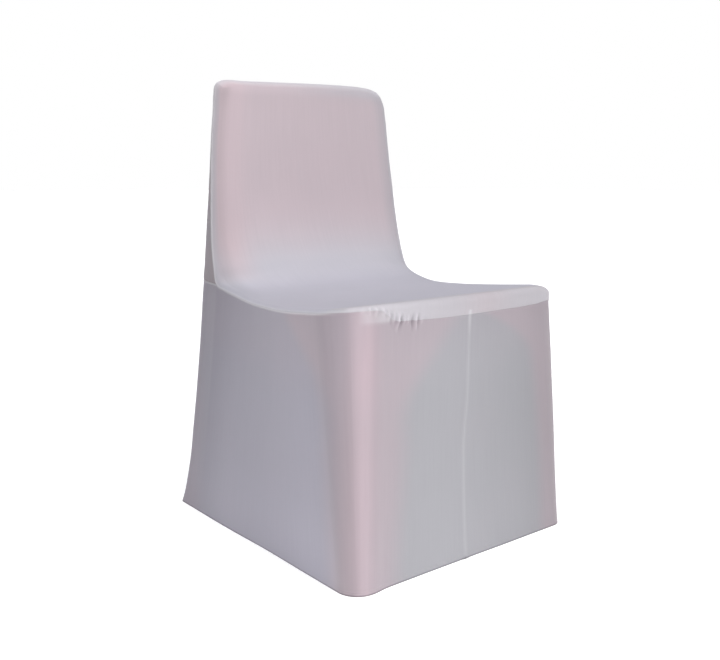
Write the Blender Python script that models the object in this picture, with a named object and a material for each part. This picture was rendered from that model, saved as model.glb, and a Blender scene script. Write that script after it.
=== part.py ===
"""Fitted stretch cover, drawn to its full shape and standing on its hem.

Three cut pieces of one thin stretch cloth: an inner panel over the front of the back,
the seat and the rolled front lip, an outer panel over the rear of the back with its side
gussets, and a skirt in one strip whose two ends meet at the front.
Metres, +Z up, the front faces -Y, the origin is on the floor under the middle of the hem.
"""
import bisect
import math

import bmesh
import bpy
from mathutils import Vector

# Whole cover
HEM_HALF_WIDTH = 0.2535
HEM_HALF_DEPTH = 0.2737
HEM_FRONT_RADIUS = 0.030
HEM_REAR_RADIUS = 0.008
CLOTH = 0.0016
SEAM_GAP = 0.00033

# The top of the back climbs a little to the right
TOP_TILT = 0.010

# Roll of the inner panel over its edges, and how far a deep roll hangs out over its seam
OVERHANG = 0.0055
SHALLOW_ROLL = 0.008
DEEP_ROLL = 0.030
TOP_ROLL = 0.0115
TOP_SEAM_Y = 0.2005
FRONT_SEAM_Y = -0.2500

# Rear folds of the back
FOLD_RADIUS = 0.011
TOP_DEPTH = 0.0092
REAR_LIFT = 0.002
GUSSET_SHARE = 0.4

# Front seam of the skirt, which wanders sideways on its way down
SEAM_TOP_X = 0.0165

# How squarely a line turns at its ends
CROSS_POWER = 4
CORNER_POWER = 8

# Stations down the cloth: the junction of back and seat, and the crest of the front lip
JUNCTION = 10
LIP = 20
BACK_ENDS = 8
SEAT_STARTS = 12.5

# Inner panel at each station from the top of the back to the lip: how far its crest line lies
# inside the side seam, where that crest line runs, and where the middle of the cloth runs.
CREST_NAMES = ("inset", "crest_y", "crest_z", "mid_y", "mid_z")
CREST = (
    (0.0070, 0.1910, 0.7975, 0.1905, 0.8020),
    (0.0085, 0.1905, 0.7925, 0.1902, 0.7960),
    (0.0092, 0.1900, 0.7840, 0.1898, 0.7870),
    (0.0092, 0.1880, 0.7590, 0.1890, 0.7600),
    (0.0090, 0.1850, 0.7100, 0.1865, 0.7100),
    (0.0090, 0.1820, 0.6650, 0.1830, 0.6650),
    (0.0090, 0.1770, 0.6180, 0.1775, 0.6200),
    (0.0100, 0.1715, 0.5640, 0.1680, 0.5720),
    (0.0110, 0.1630, 0.5120, 0.1530, 0.5260),
    (0.0120, 0.1530, 0.4760, 0.1330, 0.4890),
    (0.0120, 0.1400, 0.4500, 0.1080, 0.4620),
    (0.0120, 0.1180, 0.4400, 0.0820, 0.4470),
    (0.0120, 0.0920, 0.4340, 0.0540, 0.4390),
    (0.0120, 0.0500, 0.4270, 0.0150, 0.4340),
    (0.0120, -0.0180, 0.4265, -0.0430, 0.4315),
    (0.0120, -0.0900, 0.4305, -0.1010, 0.4325),
    (0.0120, -0.1510, 0.4360, -0.1590, 0.4365),
    (0.0115, -0.1855, 0.4395, -0.2000, 0.4410),
    (0.0105, -0.2030, 0.4415, -0.2210, 0.4435),
    (0.0095, -0.2175, 0.4432, -0.2345, 0.4450),
    (0.0085, -0.2285, 0.4440, -0.2425, 0.4458),
)

# The side seams at the same stations, as half widths and heights on the left and the right.
SEAM_NAMES = ("left", "right", "seam_y", "left_z", "right_z")
SEAM = (
    (0.1885, 0.1870, 0.2000, 0.8045, 0.8055),
    (0.1940, 0.1962, 0.1995, 0.7985, 0.7970),
    (0.1970, 0.2022, 0.1985, 0.7880, 0.7855),
    (0.2015, 0.2065, 0.1955, 0.7590, 0.7590),
    (0.2085, 0.2108, 0.1925, 0.7100, 0.7100),
    (0.2130, 0.2145, 0.1895, 0.6650, 0.6650),
    (0.2175, 0.2180, 0.1845, 0.6180, 0.6180),
    (0.2220, 0.2220, 0.1790, 0.5640, 0.5640),
    (0.2262, 0.2262, 0.1715, 0.5120, 0.5120),
    (0.2285, 0.2285, 0.1625, 0.4740, 0.4740),
    (0.2295, 0.2295, 0.1500, 0.4430, 0.4430),
    (0.2262, 0.2262, 0.1270, 0.4345, 0.4345),
    (0.2235, 0.2235, 0.1000, 0.4285, 0.4285),
    (0.2225, 0.2225, 0.0540, 0.4210, 0.4210),
    (0.2325, 0.2325, -0.0180, 0.4205, 0.4205),
    (0.2460, 0.2460, -0.0900, 0.4245, 0.4245),
    (0.2505, 0.2505, -0.1510, 0.4300, 0.4300),
    (0.2500, 0.2512, -0.1870, 0.4335, 0.4303),
    (0.2472, 0.2502, -0.2065, 0.4360, 0.4285),
    (0.2392, 0.2440, -0.2230, 0.4378, 0.4262),
    (0.2265, 0.2325, -0.2360, 0.4388, 0.4235),
)

# The seam over the top of the back, and the seam under the lip, which climbs at the left corner.
EDGE_NAMES = ("edge_x", "height")
TOP_SEAM = (
    (-0.1885, 0.8045),
    (-0.1780, 0.8088),
    (-0.1680, 0.8101),
    (-0.1420, 0.8100),
    (-0.0900, 0.8113),
    (-0.0300, 0.8128),
    (0.0400, 0.8142),
    (0.1000, 0.8146),
    (0.1420, 0.8136),
    (0.1560, 0.8125),
    (0.1700, 0.8107),
    (0.1870, 0.8055),
)
LIP_SEAM = (
    (-0.2265, 0.4388),
    (-0.2120, 0.4394),
    (-0.1900, 0.4390),
    (-0.1720, 0.4368),
    (-0.1600, 0.4290),
    (-0.1490, 0.4215),
    (-0.1200, 0.4176),
    (-0.0880, 0.4161),
    (-0.0480, 0.4146),
    (0.0150, 0.4138),
    (0.0800, 0.4145),
    (0.1630, 0.4155),
    (0.1900, 0.4165),
    (0.2120, 0.4190),
    (0.2325, 0.4235),
)

# Outer panel from the top down to the junction: how far a gusset runs back from the seam and
# outwards to its rear fold, and the middle of the rear of the back.
REAR_NAMES = ("depth", "spread", "rear_y", "rear_z")
REAR = (
    (0.0072, 0.0000, 0.2097, 0.8055),
    (0.0065, 0.0000, 0.2099, 0.7985),
    (0.0062, 0.0000, 0.2098, 0.7850),
    (0.0079, -0.0012, 0.2095, 0.7570),
    (0.0120, -0.0045, 0.2098, 0.7100),
    (0.0162, -0.0062, 0.2104, 0.6650),
    (0.0228, -0.0074, 0.2115, 0.6180),
    (0.0304, -0.0075, 0.2126, 0.5640),
    (0.0400, -0.0078, 0.2135, 0.5120),
    (0.0505, -0.0072, 0.2145, 0.4760),
    (0.0643, -0.0062, 0.2160, 0.4450),
)

# How far the skirt has spread towards its hem at each share of its drop.
FLARE_NAMES = ("drop", "front", "rear")
FLARE = (
    (0.00, 0.000, 0.000),
    (0.04, 0.045, 0.035),
    (0.12, 0.125, 0.090),
    (0.24, 0.250, 0.175),
    (0.38, 0.390, 0.288),
    (0.52, 0.530, 0.405),
    (0.66, 0.655, 0.535),
    (0.78, 0.765, 0.650),
    (0.88, 0.865, 0.785),
    (0.95, 0.940, 0.895),
    (1.00, 1.000, 1.000),
)

# The skirt's front seam at each share of its drop.
FRONT_SEAM_NAMES = ("drop", "seam_x")
FRONT_SEAM = (
    (0.00, SEAM_TOP_X),
    (0.15, 0.0105),
    (0.34, 0.0045),
    (0.50, -0.0058),
    (0.64, -0.0080),
    (1.00, -0.0086),
)

# Rows and columns of the cloth
ACROSS = 9
ROLL_STEPS = 4
GUSSET_STEPS = 5
BACK_ROWS = (0, 0.5, 1, 1.5, 2, 2.5, 3, 3.5, 4, 4.5, 5, 5.5, 6, 6.5, 7, 7.5, 8, 8.5, 9, 9.5, 10)
SEAT_ROWS = (10.5, 11, 11.5, 12, 13, 13.5, 14, 14.5, 15, 15.5, 16, 16.5, 17, 18, 19, 20)
CORNER_COLUMN = 6
CORNER_STATION = 17

# Colour and roughness of each piece
LOOKS = {
    "inner_panel": ((0.585, 0.530, 0.575), 0.62),
    "outer_back": ((0.520, 0.490, 0.535), 0.64),
    "skirt": ((0.500, 0.490, 0.535), 0.64),
}


def columns(rows, names):
    """The table as one list of values per named column."""
    return {name: [row[i] for row in rows] for i, name in enumerate(names)}


def smooth(knots, values, at):
    """Smooth curve through the knots, with the slope at each one from its two neighbours."""
    last = len(knots) - 1
    i = min(max(bisect.bisect_right(knots, at) - 1, 0), last - 1)

    def slope(k):
        if k in (0, last):
            a, b = (0, 1) if k == 0 else (last - 1, last)
            return (values[b] - values[a]) / (knots[b] - knots[a])
        before, after = knots[k] - knots[k - 1], knots[k + 1] - knots[k]
        rise, fall = (values[k] - values[k - 1]) / before, (values[k + 1] - values[k]) / after
        return (rise * after + fall * before) / (before + after)

    step = knots[i + 1] - knots[i]
    t = min(max((at - knots[i]) / step, 0.0), 1.0)
    return (values[i] * (2 * t ** 3 - 3 * t ** 2 + 1) + slope(i) * step * (t ** 3 - 2 * t ** 2 + t)
            + values[i + 1] * (3 * t ** 2 - 2 * t ** 3) + slope(i + 1) * step * (t ** 3 - t ** 2))


def ease(low, high, at):
    """Soft step from 0 at low to 1 at high."""
    t = min(max((at - low) / (high - low), 0.0), 1.0)
    return t * t * (3 - 2 * t)


crest = columns(CREST, CREST_NAMES)
seam = columns(SEAM, SEAM_NAMES)
top_seam = columns(TOP_SEAM, EDGE_NAMES)
lip_seam = columns(LIP_SEAM, EDGE_NAMES)
rear = columns(REAR, REAR_NAMES)
flare = columns(FLARE, FLARE_NAMES)
front_seam = columns(FRONT_SEAM, FRONT_SEAM_NAMES)

# Distance down the middle of the cloth at each station
RUN = [0.0]
for upper, lower in zip(CREST, CREST[1:]):
    RUN.append(RUN[-1] + math.hypot(lower[3] - upper[3], lower[4] - upper[4]))
BACK_RUN = RUN[:JUNCTION + 1]


def run_at(station):
    """Distance down the middle of the cloth, at a station or part of the way to the next."""
    i = min(int(station), len(RUN) - 2)
    return RUN[i] + (RUN[i + 1] - RUN[i]) * (station - i)


def side_seam(side, station):
    """Point of a side seam, with side -1 on the left and 1 on the right."""
    at = run_at(station)
    half, height = ("left", "left_z") if side < 0 else ("right", "right_z")
    return Vector((side * smooth(RUN, seam[half], at), smooth(RUN, seam["seam_y"], at),
                   smooth(RUN, seam[height], at)))


def side_crest(side, station):
    """Point of the line where the inner panel starts to roll over a side edge."""
    at = run_at(station)
    inset, y, z = (smooth(RUN, crest[name], at) for name in CREST_NAMES[:3])
    return Vector((side_seam(side, station).x - side * inset, y, z))


def seam_at(across, station):
    """Point of the seam round the inner panel, across -1 on the left to 1 on the right."""
    if abs(across) >= 1:
        return side_seam(across, station)
    left, right = side_seam(-1, station), side_seam(1, station)
    x = (right.x if across > 0 else -left.x) * across + middle_shift(station) * (1 - abs(across))
    end = left if across < 0 else right
    turn = abs(across) ** CORNER_POWER
    if station == 0:
        return Vector((x, TOP_SEAM_Y + (end.y - TOP_SEAM_Y) * turn,
                       smooth(top_seam["edge_x"], top_seam["height"], x)))
    return Vector((x, FRONT_SEAM_Y + (end.y - FRONT_SEAM_Y) * turn,
                   smooth(lip_seam["edge_x"], lip_seam["height"], x)))


def middle_shift(station):
    """How far the middle of the cloth is pulled aside towards the skirt's front seam."""
    return SEAM_TOP_X * ease(RUN[JUNCTION], RUN[LIP], run_at(station))


def face(across, station):
    """Point of the inner panel within its crest lines, across -1 on the left to 1 on the right."""
    at = run_at(station)
    left, right = side_crest(-1, station), side_crest(1, station)
    end = left if across < 0 else right
    reach = abs(across)
    x = abs(end.x) * across + middle_shift(station) * (1 - reach)
    mid_y, mid_z = smooth(RUN, crest["mid_y"], at), smooth(RUN, crest["mid_z"], at)
    lip_share = ease(RUN[CORNER_STATION - 1], RUN[LIP], at)
    top_share = 1 - ease(RUN[0], RUN[3], at)
    bend = reach ** (CROSS_POWER + (CORNER_POWER - CROSS_POWER) * max(lip_share, top_share))
    z = mid_z + (end.z - mid_z) * bend
    top_line = seam_at(across, 0).z - TOP_ROLL
    flat_line = crest["mid_z"][0] + (end.z - mid_z) * bend
    z += (top_line - flat_line) * top_share * (1 - bend)
    return Vector((x, mid_y + (end.y - mid_y) * bend, z))


def roll(across, station, share):
    """Point of the rolled edge of the inner panel: share 0 on its crest line, 1 on its seam."""
    start, finish = face(across, station), seam_at(across, station)
    lean = ease(BACK_ENDS, SEAT_STARTS, station) * math.pi / 2
    down = Vector((0, math.cos(lean), -math.sin(lean)))
    depth = (finish - start).dot(down)
    out = finish - start - down * depth
    angle = share * math.pi / 2
    hang = OVERHANG * ease(SHALLOW_ROLL, DEEP_ROLL, depth) * math.sin(share * math.pi)
    return (start + out * math.sin(angle) + down * depth * (1 - math.cos(angle))
            + out.normalized() * hang)


def gusset(start, inward, depth, spread, lift, share):
    """Point behind the seam of the back: share 0 on the seam, 1 where the rear of the back starts."""
    corner = start - inward * spread + Vector((0, depth, lift))
    radius = min(FOLD_RADIUS, depth * 0.9)
    run = corner - start
    straight = run.length - radius
    bend = start + run * (straight / run.length)
    finish = corner + inward * radius
    bend_share = min(GUSSET_SHARE, straight / (straight + radius * math.pi / 2))
    if share <= bend_share:
        return start.lerp(bend, share / bend_share)
    t = (share - bend_share) / (1 - bend_share)
    return bend * (1 - t) ** 2 + corner * 2 * t * (1 - t) + finish * t ** 2


def rear_point(left, right, top, span, station):
    """Point of the rear of the back between its folds; span -1 to 1, top is the fold's line there."""
    at = run_at(station)
    mid_y, mid_z = (smooth(BACK_RUN, rear[name], at) for name in ("rear_y", "rear_z"))
    end = left if span < 0 else right
    reach = abs(span)
    hold = 1 - ease(RUN[0], RUN[4], at)
    bend = reach ** (CROSS_POWER + (CORNER_POWER - CROSS_POWER) * hold)
    z = mid_z + (end.z - mid_z) * bend
    flat_line = rear["rear_z"][0] + (end.z - mid_z) * bend
    z += (top.z - flat_line) * hold * (1 - bend)
    return Vector((left.x + (right.x - left.x) * (span + 1) / 2, mid_y + (end.y - mid_y) * reach ** 2, z))


def hem_point(part, share):
    """Point of the right half of the hem's outline, by stretch and share of that stretch."""
    w, d, front, back = HEM_HALF_WIDTH, HEM_HALF_DEPTH, HEM_FRONT_RADIUS, HEM_REAR_RADIUS
    angle = share * math.pi / 2
    if part == "front corner":
        return Vector((w - front + front * math.sin(angle), -d + front - front * math.cos(angle), 0))
    if part == "side":
        return Vector((w, -d + front + (2 * d - front - back) * share, 0))
    if part == "rear corner":
        return Vector((w - back + back * math.cos(angle), d - back + back * math.sin(angle), 0))
    return Vector(((w - back) * (1 - share), d, 0))


class Cloth:
    """Shared points of all pieces, and the four-sided faces of each piece."""

    def __init__(self):
        self.points = []
        self.faces = {name: [] for name in LOOKS}

    def add(self, point):
        self.points.append(Vector(point))
        return len(self.points) - 1

    def weave(self, piece, grid):
        """Faces between the rows of a grid of point numbers, seen from outside."""
        for above, below in zip(grid, grid[1:]):
            for i in range(len(above) - 1):
                self.faces[piece].append((above[i], below[i], below[i + 1], above[i + 1]))


def across_steps():
    """Places across the cloth from -1 to 1, closer together towards the sides."""
    half = [1.3 * i / ACROSS - 0.3 * (i / ACROSS) ** 3 for i in range(1, ACROSS + 1)]
    return [-step for step in reversed(half)] + [0.0] + half


def inner_piece(cloth):
    """Face and rolled edges of the inner panel; returns its seam loop as point numbers by place."""
    steps = across_steps()
    rows = BACK_ROWS + SEAT_ROWS
    grid = [[cloth.add(face(step, station)) for step in steps] for station in rows]
    cloth.weave("inner_panel", grid)
    loop = [(step, 0) for step in steps]
    loop += [(1, station) for station in rows[1:]]
    loop += [(step, LIP) for step in reversed(steps[:-1])]
    loop += [(-1, station) for station in reversed(rows[:-1])]
    line = grid[0] + [row[-1] for row in grid[1:]] + grid[-1][-2::-1] + [row[0] for row in grid[-2::-1]]
    band = [line]
    for k in range(1, ROLL_STEPS + 1):
        ring = [cloth.add(roll(across, station, k / ROLL_STEPS)) for across, station in loop[:-1]]
        band.append(ring + ring[:1])
    cloth.weave("inner_panel", [ring[::-1] for ring in band])
    return dict(zip(loop[:-1], band[-1]))


def outer_piece(cloth, seams):
    """Gussets and rear of the outer panel; returns its lower edge as point numbers from the left."""
    steps = across_steps()
    places = [(-1, station) for station in reversed(BACK_ROWS)]
    places += [(step, 0) for step in steps[1:-1]]
    places += [(1, station) for station in BACK_ROWS]
    line = [seams[place] for place in places]
    band = [line] + [[] for k in range(GUSSET_STEPS)]
    for i, (across, station) in enumerate(places):
        before, after = cloth.points[line[max(i - 1, 0)]], cloth.points[line[min(i + 1, len(line) - 1)]]
        inward = Vector((after.z - before.z, 0, before.x - after.x)).normalized()
        at = run_at(station)
        depth = smooth(BACK_RUN, rear["depth"], at)
        if abs(across) < 1:
            depth = TOP_DEPTH + (depth - TOP_DEPTH) * abs(across) ** CROSS_POWER
        spread = smooth(BACK_RUN, rear["spread"], at)
        lift = REAR_LIFT * station / JUNCTION
        start = cloth.points[line[i]]
        for k in range(1, GUSSET_STEPS + 1):
            band[k].append(cloth.add(gusset(start, inward, depth, spread, lift, k / GUSSET_STEPS)))
    cloth.weave("outer_back", band[::-1])

    last = len(BACK_ROWS) - 1
    fold = band[-1]
    top_row = fold[last:last + len(steps)]
    ends = [cloth.points[top_row[i]].x for i in (0, -1)]
    spans = [2 * (cloth.points[i].x - ends[0]) / (ends[1] - ends[0]) - 1 for i in top_row]
    grid = [top_row]
    for k in range(1, last + 1):
        left, right = fold[last - k], fold[last + len(steps) - 1 + k]
        row = [left]
        for span, number in zip(spans[1:-1], top_row[1:-1]):
            row.append(cloth.add(rear_point(cloth.points[left], cloth.points[right],
                                            cloth.points[number], span, BACK_ROWS[k])))
        grid.append(row + [right])
    cloth.weave("outer_back", [row[::-1] for row in grid])
    lower = [ring[0] for ring in band] + grid[-1][1:-1] + [ring[-1] for ring in reversed(band)]
    return lower


def hem_under(cloth, top, marks, side):
    """Hem point under each top point of one half, from the front seam round to the rear."""
    feet = []
    foot_x = side * front_seam["seam_x"][-1]
    for part, first, last in marks:
        run = [0.0]
        for a, b in zip(top[first:last], top[first + 1:last + 1]):
            run.append(run[-1] + (cloth.points[b] - cloth.points[a]).length)
        for length in run[(1 if feet else 0):]:
            share = length / run[-1]
            if part == "front":
                corner = HEM_HALF_WIDTH - HEM_FRONT_RADIUS
                point = Vector((foot_x + (corner - foot_x) * share, -HEM_HALF_DEPTH, 0))
            else:
                point = hem_point(part, share)
            feet.append(Vector((side * point.x, point.y, 0)))
    return feet


def skirt_piece(cloth, seams, lower):
    """The skirt, hung from the front seam, the side seams and the lower edge of the outer panel."""
    half_steps = across_steps()[ACROSS:]
    middle = len(lower) // 2
    halves = {}
    for side in (1, -1):
        top = [seams[(side * step if step else 0.0, LIP)] for step in half_steps]
        top += [seams[(side, station)] for station in SEAT_ROWS[-2::-1]]
        corner_ends = len(half_steps) + SEAT_ROWS[-2::-1].index(CORNER_STATION)
        rear_half = lower[:middle - 1:-1] if side > 0 else lower[:middle + 1]
        fold_starts = len(top) + round(GUSSET_STEPS * GUSSET_SHARE)
        fold_ends = len(top) + GUSSET_STEPS
        top += rear_half
        marks = (
            ("front", 0, CORNER_COLUMN),
            ("front corner", CORNER_COLUMN, corner_ends),
            ("side", corner_ends, fold_starts),
            ("rear corner", fold_starts, fold_ends),
            ("rear", fold_ends, len(top) - 1),
        )
        halves[side] = list(zip(top, hem_under(cloth, top, marks, side)))
    loop = halves[1] + halves[-1][-2::-1]
    loop[-1] = (cloth.add(cloth.points[loop[-1][0]]), loop[-1][1])

    front_half = HEM_HALF_WIDTH - HEM_FRONT_RADIUS
    grid = [[number for number, foot in loop]]
    for drop, front, back in FLARE[1:]:
        line = []
        for number, foot in loop:
            start = cloth.points[number]
            weight = ease(-0.10, 0.20, start.y)
            point = start.lerp(foot, front * (1 - weight) + back * weight)
            point.z = start.z * (1 - drop)
            if foot.y < -HEM_HALF_DEPTH + 1e-6 and abs(foot.x) < front_half:
                wander = smooth(front_seam["drop"], front_seam["seam_x"], drop)
                straight = SEAM_TOP_X + (front_seam["seam_x"][-1] - SEAM_TOP_X) * front
                point.x += (wander - straight) * (1 - ease(0.0, front_half, abs(foot.x)))
            line.append(cloth.add(point))
        grid.append(line)
    cloth.weave("skirt", grid)


def newell(points):
    """Normal of a face, as long as the face is large."""
    total = Vector((0, 0, 0))
    for a, b in zip(points, points[1:] + points[:1]):
        total += a.cross(b)
    return total / 2


def coincident(points):
    """For each point, the first point that lies in the same place."""
    first = {}
    return [first.setdefault(tuple(round(c, 6) for c in p), i) for i, p in enumerate(points)]


def open_edges(faces):
    """Edges that only one face uses, each with that face."""
    rim = {}
    for corners in faces:
        for a, b in zip(corners, corners[1:] + corners[:1]):
            if (b, a) in rim:
                del rim[(b, a)]
            else:
                rim[(a, b)] = corners
    return rim


def make_piece(cloth, piece, normals, same):
    """One closed sheet: the outer face, the inner face one cloth thickness inside, and the rim."""
    faces = cloth.faces[piece]
    rim = open_edges(faces)
    pulls = {}
    for (a, b), corners in rim.items():
        if cloth.points[a].z < 1e-6 and cloth.points[b].z < 1e-6:
            continue
        lean = newell([cloth.points[i] for i in corners])
        away = lean.cross(cloth.points[b] - cloth.points[a]).normalized()
        pulls.setdefault(a, []).append(away)
        pulls.setdefault(b, []).append(away)

    mesh = bmesh.new()
    outside, inside = {}, {}
    for number in sorted({i for corners in faces for i in corners}):
        point = cloth.points[number].copy()
        on_floor = point.z < 1e-6
        ways = pulls.get(number, [])
        if len(ways) == 1:
            point += ways[0] * SEAM_GAP / 2
        elif len(ways) == 2:
            point += (ways[0] + ways[1]) * (SEAM_GAP / 2 / (1 + ways[0].dot(ways[1])))
        back = point - normals[same[number]] * CLOTH
        if on_floor:
            point.z = 0.0
            back.z = 0.0
        outside[number] = mesh.verts.new(point)
        inside[number] = mesh.verts.new(back)
    for a, b, c, d in faces:
        short = (outside[a].co - outside[c].co).length <= (outside[b].co - outside[d].co).length
        for corners in ((a, b, c), (a, c, d)) if short else ((a, b, d), (b, c, d)):
            mesh.faces.new([outside[i] for i in corners])
            mesh.faces.new([inside[i] for i in reversed(corners)])
    for a, b in rim:
        mesh.faces.new((outside[b], outside[a], inside[a]))
        mesh.faces.new((outside[b], inside[a], inside[b]))
    for facet in mesh.faces:
        facet.smooth = True
    data = bpy.data.meshes.new(piece)
    mesh.to_mesh(data)
    mesh.free()
    data.set_sharp_from_angle(angle=math.radians(50))
    return data


def make_material(name, colour, roughness):
    material = bpy.data.materials.new(name + "_cloth")
    material.use_nodes = True
    shader = material.node_tree.nodes["Principled BSDF"]
    shader.inputs["Base Color"].default_value = (*colour, 1.0)
    shader.inputs["Roughness"].default_value = roughness
    shader.inputs["Metallic"].default_value = 0.0
    return material


def build_cloth():
    """All points, and the faces of the three pieces."""
    cloth = Cloth()
    seams = inner_piece(cloth)
    lower = outer_piece(cloth, seams)
    skirt_piece(cloth, seams, lower)
    return cloth


def main():
    for old in list(bpy.data.objects):
        bpy.data.objects.remove(old, do_unlink=True)
    cloth = build_cloth()
    same = coincident(cloth.points)
    normals = {}
    for faces in cloth.faces.values():
        for corners in faces:
            lean = newell([cloth.points[i] for i in corners])
            for number in corners:
                normals[same[number]] = normals.get(same[number], Vector((0, 0, 0))) + lean
    normals = {number: lean.normalized() for number, lean in normals.items()}
    cover = bpy.data.objects.new("chair_cover", None)
    bpy.context.scene.collection.objects.link(cover)
    for piece, (colour, roughness) in LOOKS.items():
        data = make_piece(cloth, piece, normals, same)
        data.materials.append(make_material(piece, colour, roughness))
        thing = bpy.data.objects.new(piece, data)
        bpy.context.scene.collection.objects.link(thing)
        thing.parent = cover


main()
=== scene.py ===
import bisect
import functools
import math

import bpy
import numpy as np
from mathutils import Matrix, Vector, noise


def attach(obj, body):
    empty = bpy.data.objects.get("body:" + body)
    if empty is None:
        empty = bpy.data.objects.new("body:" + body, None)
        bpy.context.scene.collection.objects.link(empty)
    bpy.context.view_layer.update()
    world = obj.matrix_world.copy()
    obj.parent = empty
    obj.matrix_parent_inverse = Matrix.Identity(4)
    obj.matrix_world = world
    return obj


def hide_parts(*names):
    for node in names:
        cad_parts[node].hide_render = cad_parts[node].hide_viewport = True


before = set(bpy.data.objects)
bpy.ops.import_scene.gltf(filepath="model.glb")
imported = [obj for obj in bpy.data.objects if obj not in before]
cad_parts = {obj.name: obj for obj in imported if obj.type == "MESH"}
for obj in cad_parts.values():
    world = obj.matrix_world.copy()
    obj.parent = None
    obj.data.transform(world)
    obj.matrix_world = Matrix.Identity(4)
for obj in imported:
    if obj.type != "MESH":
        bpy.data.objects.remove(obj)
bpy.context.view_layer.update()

# Fitted stretch cover in three panels of one smooth knit, sewn edge to edge.
# Metres, +Z up, the front faces -Y, the origin is on the floor under the middle of the hem.


def table(names, rows):
    """Columns of a table by name. The column at holds the places where the others' values are."""
    return dict(zip(names, zip(*rows)))


def curve(columns, name, at):
    """Smooth curve through a column of a table, with each slope from the two neighbours."""
    knots, values = columns["at"], columns[name]
    last = len(knots) - 1
    i = min(max(bisect.bisect_right(knots, at) - 1, 0), last - 1)

    def slope(k):
        if k in (0, last):
            a, b = (0, 1) if k == 0 else (last - 1, last)
            return (values[b] - values[a]) / (knots[b] - knots[a])
        before, after = knots[k] - knots[k - 1], knots[k + 1] - knots[k]
        rise, fall = (values[k] - values[k - 1]) / before, (values[k + 1] - values[k]) / after
        return (rise * after + fall * before) / (before + after)

    step = knots[i + 1] - knots[i]
    t = min(max((at - knots[i]) / step, 0.0), 1.0)
    return (values[i] * (2 * t ** 3 - 3 * t ** 2 + 1) + slope(i) * step * (t ** 3 - 2 * t ** 2 + t)
            + values[i + 1] * (3 * t ** 2 - 2 * t ** 3) + slope(i + 1) * step * (t ** 3 - t ** 2))


def ease(low, high, at):
    """Soft step from 0 at low to 1 at high."""
    t = min(max((at - low) / (high - low), 0.0), 1.0)
    return t * t * (3 - 2 * t)


def bell(at, middle, width):
    """Soft bump from 0 to 1 in the middle and back to 0."""
    return math.exp(-((at - middle) / width) ** 2)


# Whole cover
HEM_HALF_WIDTH = 0.2535
HEM_HALF_DEPTH = 0.2737
HEM_FRONT_RADIUS = 0.030
HEM_REAR_RADIUS = 0.008
HEM_FRONT_HALF = HEM_HALF_WIDTH - HEM_FRONT_RADIUS
CLOTH = 0.0011

# Roll of the inner panel over its edges, and how far a deep roll hangs out over its seam
OVERHANG = 0.0055
SHALLOW_ROLL = 0.008
DEEP_ROLL = 0.030
TOP_ROLL = 0.0115
TOP_SEAM_Y = 0.2005
FRONT_SEAM_Y = -0.2500

# Rear folds of the back
FOLD_RADIUS = 0.011
FOLD_SHARE = 0.9
TOP_DEPTH = 0.0092
REAR_LIFT = 0.002
GUSSET_SHARE = 0.4

# Front seam of the skirt, which wanders sideways on its way down
SEAM_TOP_X = 0.0165

# How squarely a line turns at its ends
CROSS_POWER = 4
CORNER_POWER = 8

# Stations down the cloth: the junction of back and seat, and the crest of the front lip
JUNCTION = 10
LIP = 20
TOP_BEND_ENDS = 3
REAR_BEND_ENDS = 4
BACK_ENDS = 8
SEAT_STARTS = 12.5
CORNER_STATION = 17

# Inner panel at each station from the top of the back to the lip: how far its crest line lies
# inside the side seam, where that crest line runs, and where the middle of the cloth runs.
CREST = table(("inset", "crest_y", "crest_z", "mid_y", "mid_z"), (
    (0.007, 0.191, 0.7975, 0.1905, 0.802),
    (0.0085, 0.1905, 0.7925, 0.1902, 0.796),
    (0.0092, 0.19, 0.784, 0.1898, 0.787),
    (0.0092, 0.188, 0.759, 0.189, 0.76),
    (0.009, 0.185, 0.71, 0.1865, 0.71),
    (0.009, 0.182, 0.665, 0.183, 0.665),
    (0.009, 0.177, 0.618, 0.1775, 0.62),
    (0.01, 0.1715, 0.564, 0.168, 0.572),
    (0.011, 0.163, 0.512, 0.153, 0.526),
    (0.012, 0.153, 0.476, 0.133, 0.489),
    (0.012, 0.14, 0.45, 0.108, 0.462),
    (0.012, 0.118, 0.44, 0.082, 0.447),
    (0.012, 0.092, 0.434, 0.054, 0.439),
    (0.012, 0.05, 0.427, 0.015, 0.434),
    (0.012, -0.018, 0.4265, -0.043, 0.4315),
    (0.012, -0.09, 0.4305, -0.101, 0.4325),
    (0.012, -0.151, 0.436, -0.159, 0.4365),
    (0.0115, -0.1855, 0.4395, -0.2, 0.441),
    (0.0105, -0.203, 0.4415, -0.221, 0.4435),
    (0.0095, -0.2175, 0.4432, -0.2345, 0.445),
    (0.0085, -0.2285, 0.444, -0.2425, 0.4458),
))

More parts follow.
